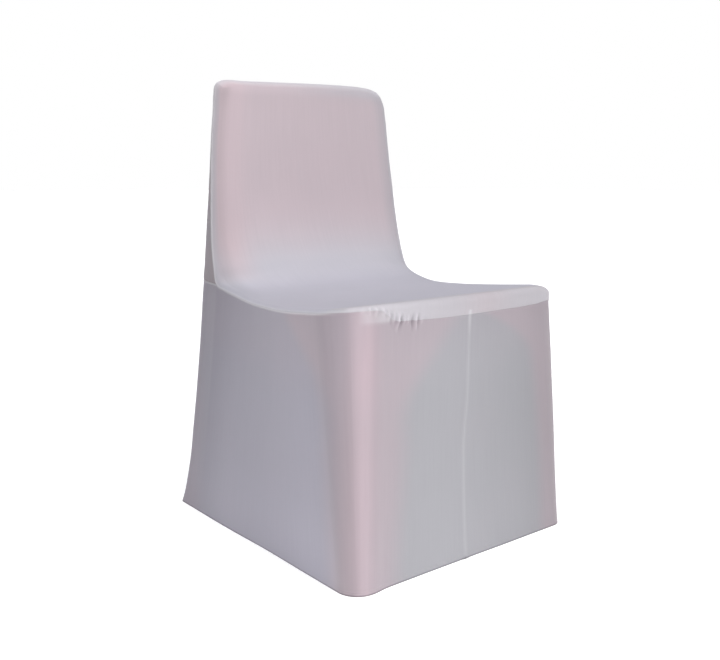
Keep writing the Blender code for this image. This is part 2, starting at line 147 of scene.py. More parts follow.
# The side seams at the same stations, as half widths and heights on the left and the right.
SEAM = table(("left", "right", "seam_y", "left_z", "right_z"), (
    (0.1885, 0.187, 0.2, 0.8045, 0.8055),
    (0.194, 0.1952, 0.198, 0.7985, 0.797),
    (0.197, 0.1997, 0.1953, 0.788, 0.7855),
    (0.2015, 0.2037, 0.192, 0.759, 0.759),
    (0.2085, 0.208, 0.1889, 0.71, 0.71),
    (0.213, 0.2117, 0.186, 0.665, 0.665),
    (0.2175, 0.2154, 0.1812, 0.618, 0.618),
    (0.222, 0.2196, 0.1758, 0.564, 0.564),
    (0.2262, 0.224, 0.1684, 0.512, 0.512),
    (0.2285, 0.2268, 0.1596, 0.474, 0.474),
    (0.2295, 0.2295, 0.149, 0.443, 0.443),
    (0.2262, 0.2262, 0.127, 0.4345, 0.4345),
    (0.2235, 0.2235, 0.1, 0.4285, 0.4285),
    (0.2225, 0.2225, 0.054, 0.421, 0.421),
    (0.2325, 0.2325, -0.018, 0.4205, 0.4205),
    (0.246, 0.246, -0.09, 0.4245, 0.4245),
    (0.2505, 0.2505, -0.151, 0.43, 0.43),
    (0.25, 0.2512, -0.187, 0.4335, 0.4303),
    (0.2472, 0.2502, -0.2065, 0.436, 0.4285),
    (0.2392, 0.244, -0.223, 0.4378, 0.4262),
    (0.2265, 0.2325, -0.236, 0.4388, 0.4235),
))

# Heights of the seam over the top of the back, and of the seam under the lip, which climbs at the
# left corner, from left to right.
TOP_SEAM = table(("at", "height"), (
    (-0.1885, 0.8045), (-0.178, 0.8088), (-0.168, 0.8101), (-0.142, 0.81),
    (-0.09, 0.8113), (-0.03, 0.8128), (0.04, 0.8142), (0.1, 0.8146),
    (0.142, 0.8136), (0.156, 0.8125), (0.17, 0.8107), (0.187, 0.8055),
))
LIP_SEAM = table(("at", "height"), (
    (-0.2265, 0.4388), (-0.212, 0.4394), (-0.19, 0.439), (-0.172, 0.4368),
    (-0.16, 0.429), (-0.149, 0.4215), (-0.12, 0.4176), (-0.088, 0.4161),
    (-0.048, 0.4146), (0.015, 0.4138), (0.08, 0.4145), (0.163, 0.4155),
    (0.19, 0.4165), (0.212, 0.419), (0.2325, 0.4235),
))

# Outer panel from the top down to the junction: how far a gusset runs back from the seam and
# outwards to its rear fold, and the middle of the rear of the back.
REAR = table(("depth", "spread", "rear_y", "rear_z"), (
    (0.0072, 0.0, 0.2097, 0.8055),
    (0.008, 0.0, 0.2099, 0.7985),
    (0.0094, 0.0, 0.2098, 0.785),
    (0.0114, -0.0012, 0.2095, 0.757),
    (0.0156, -0.0045, 0.2098, 0.71),
    (0.0197, -0.0062, 0.2104, 0.665),
    (0.0261, -0.0074, 0.2115, 0.618),
    (0.0336, -0.0075, 0.2126, 0.564),
    (0.0431, -0.0078, 0.2135, 0.512),
    (0.0534, -0.0072, 0.2145, 0.476),
    (0.0653, -0.0062, 0.216, 0.445),
))

# How far the skirt has spread towards its hem at each share of its drop.
FLARE = table(("at", "front", "rear"), (
    (0.0, 0.0, 0.0), (0.04, 0.045, 0.035), (0.12, 0.125, 0.09), (0.24, 0.25, 0.175),
    (0.38, 0.39, 0.288), (0.52, 0.53, 0.405), (0.66, 0.655, 0.535), (0.78, 0.765, 0.65),
    (0.88, 0.865, 0.785), (0.95, 0.94, 0.895), (1.0, 1.0, 1.0),
))

# The skirt's front seam at each share of its drop.
FRONT_SEAM = table(("at", "seam_x"), (
    (0.0, SEAM_TOP_X), (0.15, 0.0105), (0.34, 0.0045),
    (0.5, -0.0058), (0.64, -0.008), (1.0, -0.0086),
))

# Distance down the middle of the cloth at each station, where the values by station are
RUN = [0.0]
middle_line = list(zip(CREST["mid_y"], CREST["mid_z"]))
for (y, z), (next_y, next_z) in zip(middle_line, middle_line[1:]):
    RUN.append(RUN[-1] + math.hypot(next_y - y, next_z - z))
CREST["at"] = SEAM["at"] = RUN
REAR["at"] = RUN[:JUNCTION + 1]


def run_at(station):
    """Distance down the middle of the cloth, at a station or part of the way to the next."""
    i = min(int(station), len(RUN) - 2)
    return RUN[i] + (RUN[i + 1] - RUN[i]) * (station - i)


@functools.cache
def side_seam(side, station):
    """Point of a side seam, with side -1 on the left and 1 on the right."""
    at = run_at(station)
    half, height = ("left", "left_z") if side < 0 else ("right", "right_z")
    return Vector((side * curve(SEAM, half, at), curve(SEAM, "seam_y", at), curve(SEAM, height, at)))


@functools.cache
def side_crest(side, station):
    """Point of the line where the inner panel starts to roll over a side edge."""
    inset, y, z = (curve(CREST, name, run_at(station)) for name in ("inset", "crest_y", "crest_z"))
    return Vector((side_seam(side, station).x - side * inset, y, z))


def seam_at(across, station):
    """Point of the seam round the inner panel, across -1 on the left to 1 on the right."""
    if abs(across) >= 1:
        return side_seam(across, station)
    left, right = side_seam(-1, station), side_seam(1, station)
    x = (right.x if across > 0 else -left.x) * across + middle_shift(station) * (1 - abs(across))
    end = left if across < 0 else right
    turn = abs(across) ** CORNER_POWER
    seam_y, heights = (TOP_SEAM_Y, TOP_SEAM) if station == 0 else (FRONT_SEAM_Y, LIP_SEAM)
    return Vector((x, seam_y + (end.y - seam_y) * turn, curve(heights, "height", x)))


def middle_shift(station):
    """How far the middle of the cloth is pulled aside towards the skirt's front seam."""
    return SEAM_TOP_X * ease(RUN[JUNCTION], RUN[LIP], run_at(station))


def turned(reach, square, hold, mid_z, end_z, top_mid_z, top_z):
    """How far a line across has turned to its end, and its height there, held to the top's line."""
    bend = reach ** (CROSS_POWER + (CORNER_POWER - CROSS_POWER) * square)
    change = (end_z - mid_z) * bend
    return bend, mid_z + change + (top_z - (top_mid_z + change)) * hold * (1 - bend)


def face(across, station):
    """Point of the inner panel within its crest lines, across -1 on the left to 1 on the right."""
    at = run_at(station)
    left, right = side_crest(-1, station), side_crest(1, station)
    end = left if across < 0 else right
    reach = abs(across)
    x = abs(end.x) * across + middle_shift(station) * (1 - reach)
    mid_y, mid_z = curve(CREST, "mid_y", at), curve(CREST, "mid_z", at)
    lip_share = ease(RUN[CORNER_STATION - 1], RUN[LIP], at)
    top_share = 1 - ease(RUN[0], RUN[TOP_BEND_ENDS], at)
    bend, z = turned(reach, max(lip_share, top_share), top_share, mid_z, end.z, CREST["mid_z"][0],
                     seam_at(across, 0).z - TOP_ROLL)
    return Vector((x, mid_y + (end.y - mid_y) * bend, z))


def roll(across, station, share):
    """Point of the rolled edge of the inner panel: share 0 on its crest line, 1 on its seam."""
    start, finish = face(across, station), seam_at(across, station)
    lean = ease(BACK_ENDS, SEAT_STARTS, station) * math.pi / 2
    down = Vector((0, math.cos(lean), -math.sin(lean)))
    depth = (finish - start).dot(down)
    out = finish - start - down * depth
    angle = share * math.pi / 2
    hang = OVERHANG * ease(SHALLOW_ROLL, DEEP_ROLL, depth) * math.sin(share * math.pi)
    return (start + out * math.sin(angle) + down * depth * (1 - math.cos(angle))
            + out.normalized() * hang)


def gusset(start, inward, depth, spread, lift, share):
    """Point behind the seam of the back: share 0 on the seam, 1 where the rear of the back starts."""
    corner = start - inward * spread + Vector((0, depth, lift))
    radius = min(FOLD_RADIUS, depth * FOLD_SHARE)
    run = corner - start
    straight = run.length - radius
    bend = start + run * (straight / run.length)
    finish = corner + inward * radius
    bend_share = min(GUSSET_SHARE, straight / (straight + radius * math.pi / 2))
    if share <= bend_share:
        return start.lerp(bend, share / bend_share)
    t = (share - bend_share) / (1 - bend_share)
    return bend * (1 - t) ** 2 + corner * 2 * t * (1 - t) + finish * t ** 2


def rear_point(left, right, top, span, station):
    """Point of the rear of the back between its folds; span -1 to 1, top is the fold's line there."""
    at = run_at(station)
    mid_y, mid_z = curve(REAR, "rear_y", at), curve(REAR, "rear_z", at)
    end = left if span < 0 else right
    reach = abs(span)
    hold = 1 - ease(RUN[0], RUN[REAR_BEND_ENDS], at)
    z = turned(reach, hold, hold, mid_z, end.z, REAR["rear_z"][0], top.z)[1]
    x = left.x + (right.x - left.x) * (span + 1) / 2
    return Vector((x, mid_y + (end.y - mid_y) * reach ** 2, z))


def hem_point(part, share):
    """Point of the right half of the hem's outline, by stretch and share of that stretch."""
    w, d, front, back = HEM_HALF_WIDTH, HEM_HALF_DEPTH, HEM_FRONT_RADIUS, HEM_REAR_RADIUS
    angle = share * math.pi / 2
    if part == "front corner":
        return Vector((w - front + front * math.sin(angle), -d + front - front * math.cos(angle), 0))
    if part == "side":
        return Vector((w, -d + front + (2 * d - front - back) * share, 0))
    if part == "rear corner":
        return Vector((w - back + back * math.cos(angle), d - back + back * math.sin(angle), 0))
    return Vector(((w - back) * (1 - share), d, 0))


# Finer rows and columns than the solids have, with the columns closer together beside the side
# seams and where the lip puckers
ROW_STEP = 0.0046
COLUMN_STEP = 0.0036
PUCKER_STEP = 0.0014
PUCKERS_START = (-0.222, -0.205)
PUCKERS_END = (-0.078, -0.06)
SIDE_STEP = 0.55
SIDE_STEP_GAIN = 0.45
SIDE_REACH = 0.05
LEAST_STEP = 0.004
ROLL_STEPS = 14
ROLL_CROWDING = 1.35
GUSSET_STEPS = 16
GUSSET_CROWDING = 1.25
CORNER_REACH = 0.86
LIP_HALF = SEAM["left"][-1]

# A distance that stands for away from any seam
FAR = 1.0

# Rows of the skirt: distances below its seam and above its hem, and how many rows lie between
BELOW_SEAM = (0.0007, 0.0015, 0.0024, 0.0034, 0.0045, 0.0058, 0.0073, 0.009, 0.0112, 0.0138, 0.0168, 0.0203,
              0.0244, 0.0292, 0.035)
ABOVE_HEM = (0.03, 0.024, 0.019, 0.015, 0.012, 0.0098, 0.0082, 0.0072, 0.0066, 0.006, 0.0056, 0.0052,
             0.0048, 0.0042, 0.0034, 0.0026, 0.0018, 0.001, 0.0004, 0.0)
ROWS_BETWEEN = 44

# Where the skirt's flare changes from the front's to the rear's
FLARE_CHANGES = (-0.1, 0.2)

# Limits: digits by which points lie in the same place, lengths that count as none, and the angle
# from which an edge is sharp
SAME_DIGITS = 6
TINY = 1e-6
NO_LENGTH = 1e-12
SHARP_ANGLE = math.radians(60)

# Relief of a sewn seam: one narrow soft ridge of doubled cloth with a fine needle line on its top
SEAM_RIDGE = 0.0011
RIDGE_WIDTH = 0.0026
NEEDLE_DEPTH = 0.0003
NEEDLE_WIDTH = 0.0005

# Unevenness of all the cloth: height, and waves in a metre
UNEVEN_HEIGHT = 0.0003
UNEVEN_RATE = 9.0

# Hem: its band with a stitch row, and its notch at the front seam
HEM_HEIGHT = 0.0066
HEM_FADE = 0.0015
HEM_RISE = 0.0003
STITCH_AT = 0.0052
STITCH_WIDTH = 0.0006
STITCH_SHARE = 0.8
NOTCH_DEPTH = 0.0038
NOTCH_WIDTH = 0.0042

# The front of the hem hangs a little forward, and more in a spot beside the left corner, given as
# its middle and its width
HEM_BULGE = 0.0022
CORNER_BULGE = 0.004
CORNER_AT = (0.213, 0.02)

# The right end of the lip sags, growing between these places
SAG_DEPTH = 0.0065
SAG_X = (0.2, 0.244)
SAG_Y = (-0.24, -0.18)
SAG_Z = (0.3, 0.43)

# Puckers where the skirt is eased onto the seam under the lip, by the left front corner: place,
# reach above and below the seam, lean, height and width
PUCKERED_X = (-0.235, -0.06)
PUCKERED_Y = -0.2
PUCKER_SPAN = 3
PUCKERS = (
    (-0.208, 0.006, 0.008, -0.2, 0.0005, 0.004),
    (-0.1935, 0.009, 0.01, -0.15, 0.0012, 0.003),
    (-0.183, 0.008, 0.014, -0.2, 0.0016, 0.0036),
    (-0.169, 0.01, 0.012, -0.25, 0.0012, 0.0046),
    (-0.159, 0.01, 0.013, -0.3, 0.0019, 0.003),
    (-0.149, 0.016, 0.017, -0.24, 0.0026, 0.003),
    (-0.141, 0.018, 0.021, -0.36, 0.0038, 0.0036),
    (-0.1335, 0.013, 0.007, -0.2, -0.0017, 0.003),
    (-0.128, 0.009, 0.009, -0.2, 0.0012, 0.0034),
    (-0.1215, 0.013, 0.009, -0.1, 0.0023, 0.0028),
    (-0.112, 0.01, 0.019, -0.05, -0.0017, 0.0022),
    (-0.105, 0.016, 0.021, -0.06, 0.0033, 0.0032),
    (-0.099, 0.008, 0.012, 0.0, -0.001, 0.0022),
    (-0.093, 0.006, 0.009, 0.05, 0.0008, 0.004),
)

# Broad soft undulations of the hanging skirt: place along the hem from the front seam going
# right, width, height at the hem and height at the top. They fade out towards the seams.
SWELL_FADE = 0.05
SKIRT_HEIGHT = 0.43
SWELLS = (
    (0.1, 0.05, 0.0006, 0.0002),
    (0.4, 0.09, -0.001, -0.0008),
    (0.6, 0.07, 0.0012, 0.0004),
    (0.9, 0.08, -0.0012, 0.0),
    (1.12, 0.08, 0.0012, 0.0),
    (1.45, 0.09, 0.0012, 0.0004),
    (1.62, 0.08, -0.0014, -0.001),
    (1.93, 0.06, 0.0006, 0.0003),
)


class Cloth:
    """Shared points of all pieces with what is known of each, and the faces of each piece."""

    def __init__(self):
        self.points = []
        self.facts = []
        self.faces = {"inner_panel": [], "outer_back": [], "skirt": []}

    def add(self, point, seam_away, **facts):
        """A point, with its distance from the nearest seam and other facts by name."""
        self.points.append(Vector(point))
        self.facts.append({"seam_away": seam_away, **facts})
        return len(self.points) - 1

    def weave(self, piece, grid, flat):
        """Faces between the rows of a grid of point numbers, with flat cloth places for the weave."""
        for above, below, flat_above, flat_below in zip(grid, grid[1:], flat, flat[1:]):
            for i in range(len(above) - 1):
                quad = (above[i], below[i], below[i + 1], above[i + 1])
                places = (flat_above[i], flat_below[i], flat_below[i + 1], flat_above[i + 1])
                self.faces[piece].append((quad, places))


def across_steps():
    """Places across the cloth from -1 to 1."""
    steps, at = [-1.0], -1.0
    while at < 1:
        x = at * LIP_HALF + SEAM_TOP_X * (1 - abs(at))
        fine = ease(*PUCKERS_START, x) * (1 - ease(*PUCKERS_END, x))
        step = COLUMN_STEP + (PUCKER_STEP - COLUMN_STEP) * fine
        step *= SIDE_STEP + SIDE_STEP_GAIN * ease(0.0, SIDE_REACH, (1 - abs(at)) * LIP_HALF)
        at += step / LIP_HALF
        steps.append(min(at, 1.0))
    if steps[-1] - steps[-2] < LEAST_STEP:
        steps.pop(-2)
    middle = min(range(len(steps)), key=lambda i: abs(steps[i]))
    steps[middle] = 0.0
    return steps


def rows_between(first, last):
    """Stations from first to last, a fixed step apart along the cloth."""
    rows = []
    for station in range(first, last):
        count = max(2, math.ceil((RUN[station + 1] - RUN[station]) / ROW_STEP))
        rows += [station + k / count for k in range(count)]
    return rows + [last]


STEPS = across_steps()
BACK_ROWS = rows_between(0, JUNCTION)
SEAT_ROWS = rows_between(JUNCTION, LIP)[1:]


def inner_piece(cloth):
    """Face and rolled edges of the inner panel; returns its seam loop as point numbers by place."""
    rows = BACK_ROWS + SEAT_ROWS
    grid = [[cloth.add(face(step, station), FAR, across=step, station=station) for step in STEPS]
            for station in rows]
    flat = [[(step * LIP_HALF, -run_at(station)) for step in STEPS] for station in rows]
    cloth.weave("inner_panel", grid, flat)
    loop = [(step, 0) for step in STEPS]
    loop += [(1, station) for station in rows[1:]]
    loop += [(step, LIP) for step in reversed(STEPS[:-1])]
    loop += [(-1, station) for station in reversed(rows[1:-1])]
    line = grid[0] + [row[-1] for row in grid[1:]] + grid[-1][-2::-1] + [row[0] for row in grid[-2:0:-1]]
    shares = [1 - (1 - k / ROLL_STEPS) ** ROLL_CROWDING for k in range(1, ROLL_STEPS + 1)]
    chains = []
    for (across, station), number in zip(loop, line):
        chain = [cloth.points[number]] + [roll(across, station, share) for share in shares]
        lengths = [(b - a).length for a, b in zip(chain, chain[1:])]
        left = [sum(lengths[k + 1:]) for k in range(len(lengths))]
        chains.append([number] + [cloth.add(point, away, across=across, station=station, side="inner")
                                  for point, away in zip(chain[1:], left)])
        cloth.facts[number].update(seam_away=sum(lengths), side="inner")
    chains.append(chains[0])
    band = [list(ring) for ring in zip(*chains)]
    flat = []
    for ring in band:
        flat_ring = []
        for (across, station), number in zip(loop + loop[:1], ring):
            out = cloth.facts[line[0]]["seam_away"] - cloth.facts[number]["seam_away"]
            u = across * LIP_HALF + (math.copysign(out, across) if abs(across) == 1 else 0.0)
            v = -run_at(station) + (out if station == 0 else -out if station == LIP else 0.0)
            flat_ring.append((u, v))
        flat.append(flat_ring)
    cloth.weave("inner_panel", [ring[::-1] for ring in band], [ring[::-1] for ring in flat])
    return dict(zip(loop, band[-1][:-1]))


def outer_piece(cloth, seams):
    """Gussets and rear of the outer panel; returns its lower edge as point numbers from the left."""
    places = [(-1, station) for station in reversed(BACK_ROWS)]
    places += [(step, 0) for step in STEPS[1:-1]]
    places += [(1, station) for station in BACK_ROWS]
    line = [seams[place] for place in places]
    band = [line] + [[] for k in range(GUSSET_STEPS)]
    flat = [[] for k in range(GUSSET_STEPS + 1)]
    for i, (across, station) in enumerate(places):
        before, after = cloth.points[line[max(i - 1, 0)]], cloth.points[line[min(i + 1, len(line) - 1)]]
        inward = Vector((after.z - before.z, 0, before.x - after.x)).normalized()
        at = run_at(station)
        depth = curve(REAR, "depth", at)
        if abs(across) < 1:
            depth = TOP_DEPTH + (depth - TOP_DEPTH) * abs(across) ** CROSS_POWER
        spread = curve(REAR, "spread", at)
        lift = REAR_LIFT * station / JUNCTION
        start = cloth.points[line[i]]
        chain = [start]
        for k in range(1, GUSSET_STEPS + 1):
            share = (k / GUSSET_STEPS) ** GUSSET_CROWDING
            chain.append(gusset(start, inward, depth, spread, lift, share))
        away = 0.0
        flat[0].append((start.x, start.z))
        for k in range(1, GUSSET_STEPS + 1):
            away += (chain[k] - chain[k - 1]).length
            band[k].append(cloth.add(chain[k], away, side="outer", place=(across, station),
                                     turn=k / GUSSET_STEPS))
            side = math.copysign(1, across) if abs(across) == 1 else 0
            flat[k].append((start.x + side * away, start.z + (0 if side else away)))
    cloth.weave("outer_back", band[::-1], flat[::-1])

    last = len(BACK_ROWS) - 1
    fold = band[-1]
    top_row = fold[last:last + len(STEPS)]
    ends = [cloth.points[top_row[i]].x for i in (0, -1)]
    spans = [2 * (cloth.points[i].x - ends[0]) / (ends[1] - ends[0]) - 1 for i in top_row]
    grid = [top_row]
    for k in range(1, last + 1):
        left, right = fold[last - k], fold[last + len(STEPS) - 1 + k]
        row = [left]
        for span, number in zip(spans[1:-1], top_row[1:-1]):
            corners = (cloth.points[i] for i in (left, right, number))
            row.append(cloth.add(rear_point(*corners, span, BACK_ROWS[k]), FAR, side="outer"))
        grid.append(row + [right])
    flat = [[(cloth.points[i].x, cloth.points[i].z) for i in row] for row in grid]
    cloth.weave("outer_back", [row[::-1] for row in grid], [row[::-1] for row in flat])
    return [ring[0] for ring in band] + grid[-1][1:-1] + [ring[-1] for ring in reversed(band)]


def hem_under(cloth, top, marks, side):
    """Hem point under each top point of one half, from the front seam round to the rear."""
    feet = []
    foot_x = side * FRONT_SEAM["seam_x"][-1]
    side_bulge = CORNER_BULGE if side < 0 else 0.0
    for part, first, last in marks:
        run = [0.0]
        for a, b in zip(top[first:last], top[first + 1:last + 1]):
            run.append(run[-1] + (cloth.points[b] - cloth.points[a]).length)
        for length in run[(1 if feet else 0):]:
            share = length / run[-1]
            if part == "front":
                point = Vector((foot_x + (HEM_FRONT_HALF - foot_x) * share, -HEM_HALF_DEPTH, 0))
            else:
                point = hem_point(part, share)
            square_on = ease(-HEM_HALF_DEPTH + HEM_FRONT_RADIUS, -HEM_HALF_DEPTH, point.y) ** 2
            bulge = HEM_BULGE + side_bulge * bell(point.x, *CORNER_AT)
            feet.append(Vector((side * point.x, point.y - bulge * square_on, 0)))
    return feet


def skirt_heights():
    """Rows of the skirt: share of the way down between the edges, metres from seam and from hem."""
    rows = [(0.0, away, 0.0) for away in BELOW_SEAM]
    rows += [(k / ROWS_BETWEEN, BELOW_SEAM[-1], ABOVE_HEM[0]) for k in range(1, ROWS_BETWEEN)]
    return rows + [(1.0, 0.0, away) for away in ABOVE_HEM]


def skirt_piece(cloth, seams, lower):
    """The skirt, hung from the front seam, the side seams and the lower edge of the outer panel."""
    centre = STEPS.index(0.0)
    middle = len(lower) // 2
    halves = {}
    for side in (1, -1):
        front_steps = STEPS[centre:] if side > 0 else STEPS[centre::-1]
        top = [seams[(step, LIP)] for step in front_steps]
        top += [seams[(side, station)] for station in SEAT_ROWS[-2::-1]]
        corner_starts = max(i for i, step in enumerate(front_steps) if abs(step) <= CORNER_REACH)
        corner_ends = len(front_steps) + SEAT_ROWS[-2::-1].index(CORNER_STATION)
        rear_half = lower[:middle - 1:-1] if side > 0 else lower[:middle + 1]
        fold_starts = len(top) + round(GUSSET_STEPS * GUSSET_SHARE)
        fold_ends = len(top) + GUSSET_STEPS
        top += rear_half
        marks = (
            ("front", 0, corner_starts),
            ("front corner", corner_starts, corner_ends),
            ("side", corner_ends, fold_starts),
            ("rear corner", fold_starts, fold_ends),
            ("rear", fold_ends, len(top) - 1),
        )
        halves[side] = list(zip(top, hem_under(cloth, top, marks, side)))
    loop = halves[1] + halves[-1][-2::-1]
    first = loop[-1][0]
    loop[-1] = (cloth.add(cloth.points[first], 0.0, side="skirt"), loop[-1][1])

    around = [0.0]
    for (a, foot_a), (b, foot_b) in zip(loop, loop[1:]):
        around.append(around[-1] + (foot_b - foot_a).length)
    grid = [[number for number, foot in loop]]
    flat = [[(u, cloth.points[number].z) for u, (number, foot) in zip(around, loop)]]
    for share, from_seam, from_hem in skirt_heights():
        line = []
        flat_line = []
        for u, (number, foot) in zip(around, loop):
            start = cloth.points[number]
            high = start.z - from_seam
            height = high + (from_hem - high) * share
            drop = 1 - height / start.z
            weight = ease(*FLARE_CHANGES, start.y)
            spread = curve(FLARE, "front", drop)
            point = start.lerp(foot, spread * (1 - weight) + curve(FLARE, "rear", drop) * weight)
            point.z = height
            if foot.y < -HEM_HALF_DEPTH + TINY and abs(foot.x) < HEM_FRONT_HALF:
                wander = curve(FRONT_SEAM, "seam_x", drop)
                straight = SEAM_TOP_X + (FRONT_SEAM["seam_x"][-1] - SEAM_TOP_X) * spread
                point.x += (wander - straight) * (1 - ease(0.0, HEM_FRONT_HALF, abs(foot.x)))
            down = start.z - height
            to_front_seam = min(u, around[-1] - u)
            line.append(cloth.add(point, min(down, to_front_seam), side="skirt", foot=foot, around=u,
                                  down=down, front_seam=to_front_seam, start=start))
            flat_line.append((u, height))
        grid.append(line)
        flat.append(flat_line)
    cloth.weave("skirt", grid, flat)
    return around[-1]


def sag_lip_end(cloth):
    """Lowers the right end of the lip, with the cloth that hangs from it."""
    for point in cloth.points:
        near = ease(*SAG_X, point.x) * (1 - ease(*SAG_Y, point.y)) * ease(*SAG_Z, point.z)
        point.z -= SAG_DEPTH * near


def coincident(points):
    """For each point, the first point that lies in the same place."""
    first = {}
    return [first.setdefault(tuple(round(c, SAME_DIGITS) for c in p), i) for i, p in enumerate(points)]


def normals_of(cloth, points, same):
    """Outward normal at every point, shared by points in the same place."""
    total = np.zeros((len(points), 3))
    for faces in cloth.faces.values():
        corners = np.array([same[i] for quad, flat in faces for i in quad]).reshape(-1, 4)
        p = points[corners]
        lean = np.cross(p[:, 2] - p[:, 0], p[:, 3] - p[:, 1])
        for k in range(4):
            np.add.at(total, corners[:, k], lean)
    total = total[same]
    return total / np.maximum(np.linalg.norm(total, axis=1), NO_LENGTH)[:, None]


def seam_relief(away):
    """Height of the cloth over its own face at a distance from a seam."""
    return SEAM_RIDGE * bell(away, 0.0, RIDGE_WIDTH) - NEEDLE_DEPTH * bell(away, 0.0, NEEDLE_WIDTH)


def pucker_relief(point, above, below):
    """Height of the small slanted folds that cross the seam under the lip."""
    total = 0.0
    for at_x, reach_up, reach_down, lean, height, width in PUCKERS:
        reach, away = (reach_up, above) if above > 0 else (reach_down, below)
        if away >= reach:
            continue
        t = (point.x - at_x - lean * below) / width
        if abs(t) > PUCKER_SPAN:
            continue
        fade = 1 - (away / reach) ** 2
        total += height * fade * fade * (1 - t * t) * math.exp(-t * t / 2)
    return total


def swell_relief(around, height, length):
    """Height of the skirt's broad undulations."""
    total = 0.0
    for at, width, foot, top in SWELLS:
        t = (around - at) / width
        total += (foot + (top - foot) * height / SKIRT_HEIGHT) * math.exp(-t * t)
    return total * ease(0.0, SWELL_FADE, min(around, length - around))


def relief(cloth, number, hem_length):
    """Height of all fine form over the smooth shape at one point."""
    facts, point = cloth.facts[number], cloth.points[number]
    rise = seam_relief(facts["seam_away"])
    side = facts.get("side")
    puckered = point.y < PUCKERED_Y and PUCKERED_X[0] < point.x < PUCKERED_X[1]
    if puckered and ("foot" in facts or facts.get("station") == LIP):
        above = 0.0 if side == "skirt" else facts["seam_away"]
        facts["pucker"] = pucker_relief(point, above, facts.get("down", 0.0))
        rise += facts["pucker"]
    if side == "skirt" and "foot" in facts:
        if facts["down"] > 0:
            fade = ease(0.0, SWELL_FADE, facts["down"])
            rise += swell_relief(facts["around"], point.z, hem_length) * fade
        rise += HEM_RISE * (1 - ease(HEM_HEIGHT, HEM_HEIGHT + HEM_FADE, point.z))
        rise -= HEM_RISE * STITCH_SHARE * bell(point.z, STITCH_AT, STITCH_WIDTH)
    return rise + UNEVEN_HEIGHT * noise.noise(point * UNEVEN_RATE)


# Tones. The cloth is sheer enough to look warmer where it lies close over something solid,
# and cooler and lavender where it lies open to the sky: a neutral, a cool and a warm colour.
# The third tone is a paleness, partly seam allowance showing through and partly painted
# highlight. The fourth tone is painted light and shade: it makes the colour lighter where more
# light falls and darker where shade falls.
TONE_NAMES = ("warmth", "coolness", "pale_and_highlight", "painted_shading")
# The inner panel's colours are lighter than those of the outer panel and the skirt, partly for the solid
# seat and back under it and partly as painted light from above.
TONES = {
    "inner_panel": ((0.44, 0.424, 0.456, 1.0), (0.413, 0.405, 0.461, 1.0), (0.548, 0.45, 0.478, 1.0)),
    "outer_back": ((0.324, 0.317, 0.337, 1.0), (0.328, 0.314, 0.362, 1.0), (0.4, 0.32, 0.346, 1.0)),
    "skirt": ((0.331, 0.327, 0.349, 1.0), (0.335, 0.321, 0.374, 1.0), (0.425, 0.331, 0.365, 1.0)),
}
# Pale colour: seam allowances and the front seam's tab, also painted highlight along the seam ridges, on
# the lip and on the gathered cloth under it
PALE_AND_HIGHLIGHT = (0.6, 0.59, 0.612, 1.0)

# Where the warm tone ends on the skirt at each height: on the front from the left and from the
# right, and how far round the front corners it reaches on the sides.
WARM_EDGES = table(("at", "left_x", "right_x", "side_y"), (
    (0.0, -0.165, 0.188, -0.226), (0.1, -0.152, 0.188, -0.22),
    (0.2, -0.14, 0.182, -0.212), (0.3, -0.122, 0.172, -0.203),
    (0.345, -0.08, 0.16, -0.175), (0.38, -0.045, 0.12, -0.135),
    (0.415, -0.015, 0.05, -0.095),
))

# Painted light and shade on the skirt, as how light it is: from the front corner to the rear along
# the sides, darker towards the rear corner; from the left to the right of the front, with a painted
# highlight down the left front corner and darker towards the right; and from the floor to the seam on
# the sides and on the front.
SIDE_SHADES = table(("at", "painted_shading"), (
    (-0.25, 1.04), (-0.2437, 1.07), (-0.235, 1.125), (-0.22, 1.14), (-0.2, 1.165), (-0.16, 1.165),
    (-0.12, 1.13), (-0.03, 1.06), (0.05, 1.01), (0.12, 0.97), (0.16, 0.905), (0.195, 0.838),
    (0.225, 0.785), (0.25, 0.768), (0.262, 0.75), (0.2705, 0.785), (0.2737, 1.02),
))
FRONT_SHADES = table(("at", "painted_shading"), (
    (-0.26, 1.02), (-0.25, 1.0), (-0.2437, 0.97), (-0.2405, 1.0), (-0.2365, 1.08), (-0.232, 1.12),
    (-0.228, 1.11), (-0.22, 1.04), (-0.212, 0.99), (-0.205, 0.99), (-0.15, 0.99), (-0.1, 1.01),
    (0.0, 1.0), (0.05, 0.975), (0.12, 0.945), (0.16, 0.91), (0.2, 0.86), (0.26, 0.81),
))
HEIGHT_SHADES = table(("at", "side", "front"), (
    (0.0, 1.13, 1.04), (0.06, 1.11, 1.02), (0.14, 1.04, 0.99), (0.25, 1.01, 0.98),
    (0.34, 0.98, 1.02), (0.4, 0.96, 1.03), (0.46, 0.95, 1.03),
))

# Painted light and shade on the inner panel, as how light it is down the back, over the seat and on the
# lip, by station: lightest low on the back, where it turns towards the seat.
PANEL_SHADES = table(("at", "painted_shading"), (
    (0, 1.22), (1, 1.19), (2, 1.14), (3, 1.14), (6, 1.15), (7, 1.18), (8, 1.24), (9, 1.26),
    (10, 1.17), (11, 1.1), (12, 1.04), (14, 1.04), (17, 1.075), (20, 1.02),
))

# Painted light and shade on the lip, as how light it is from its left end to its right end: lightest at the
# left end.
LIP_SHADES = table(("at", "painted_shading"), (
    (-0.24, 1.16), (-0.19, 1.14), (-0.15, 1.09), (-0.085, 1.03), (-0.02, 0.98), (0.05, 0.94),
    (0.13, 0.97), (0.24, 1.0),
))

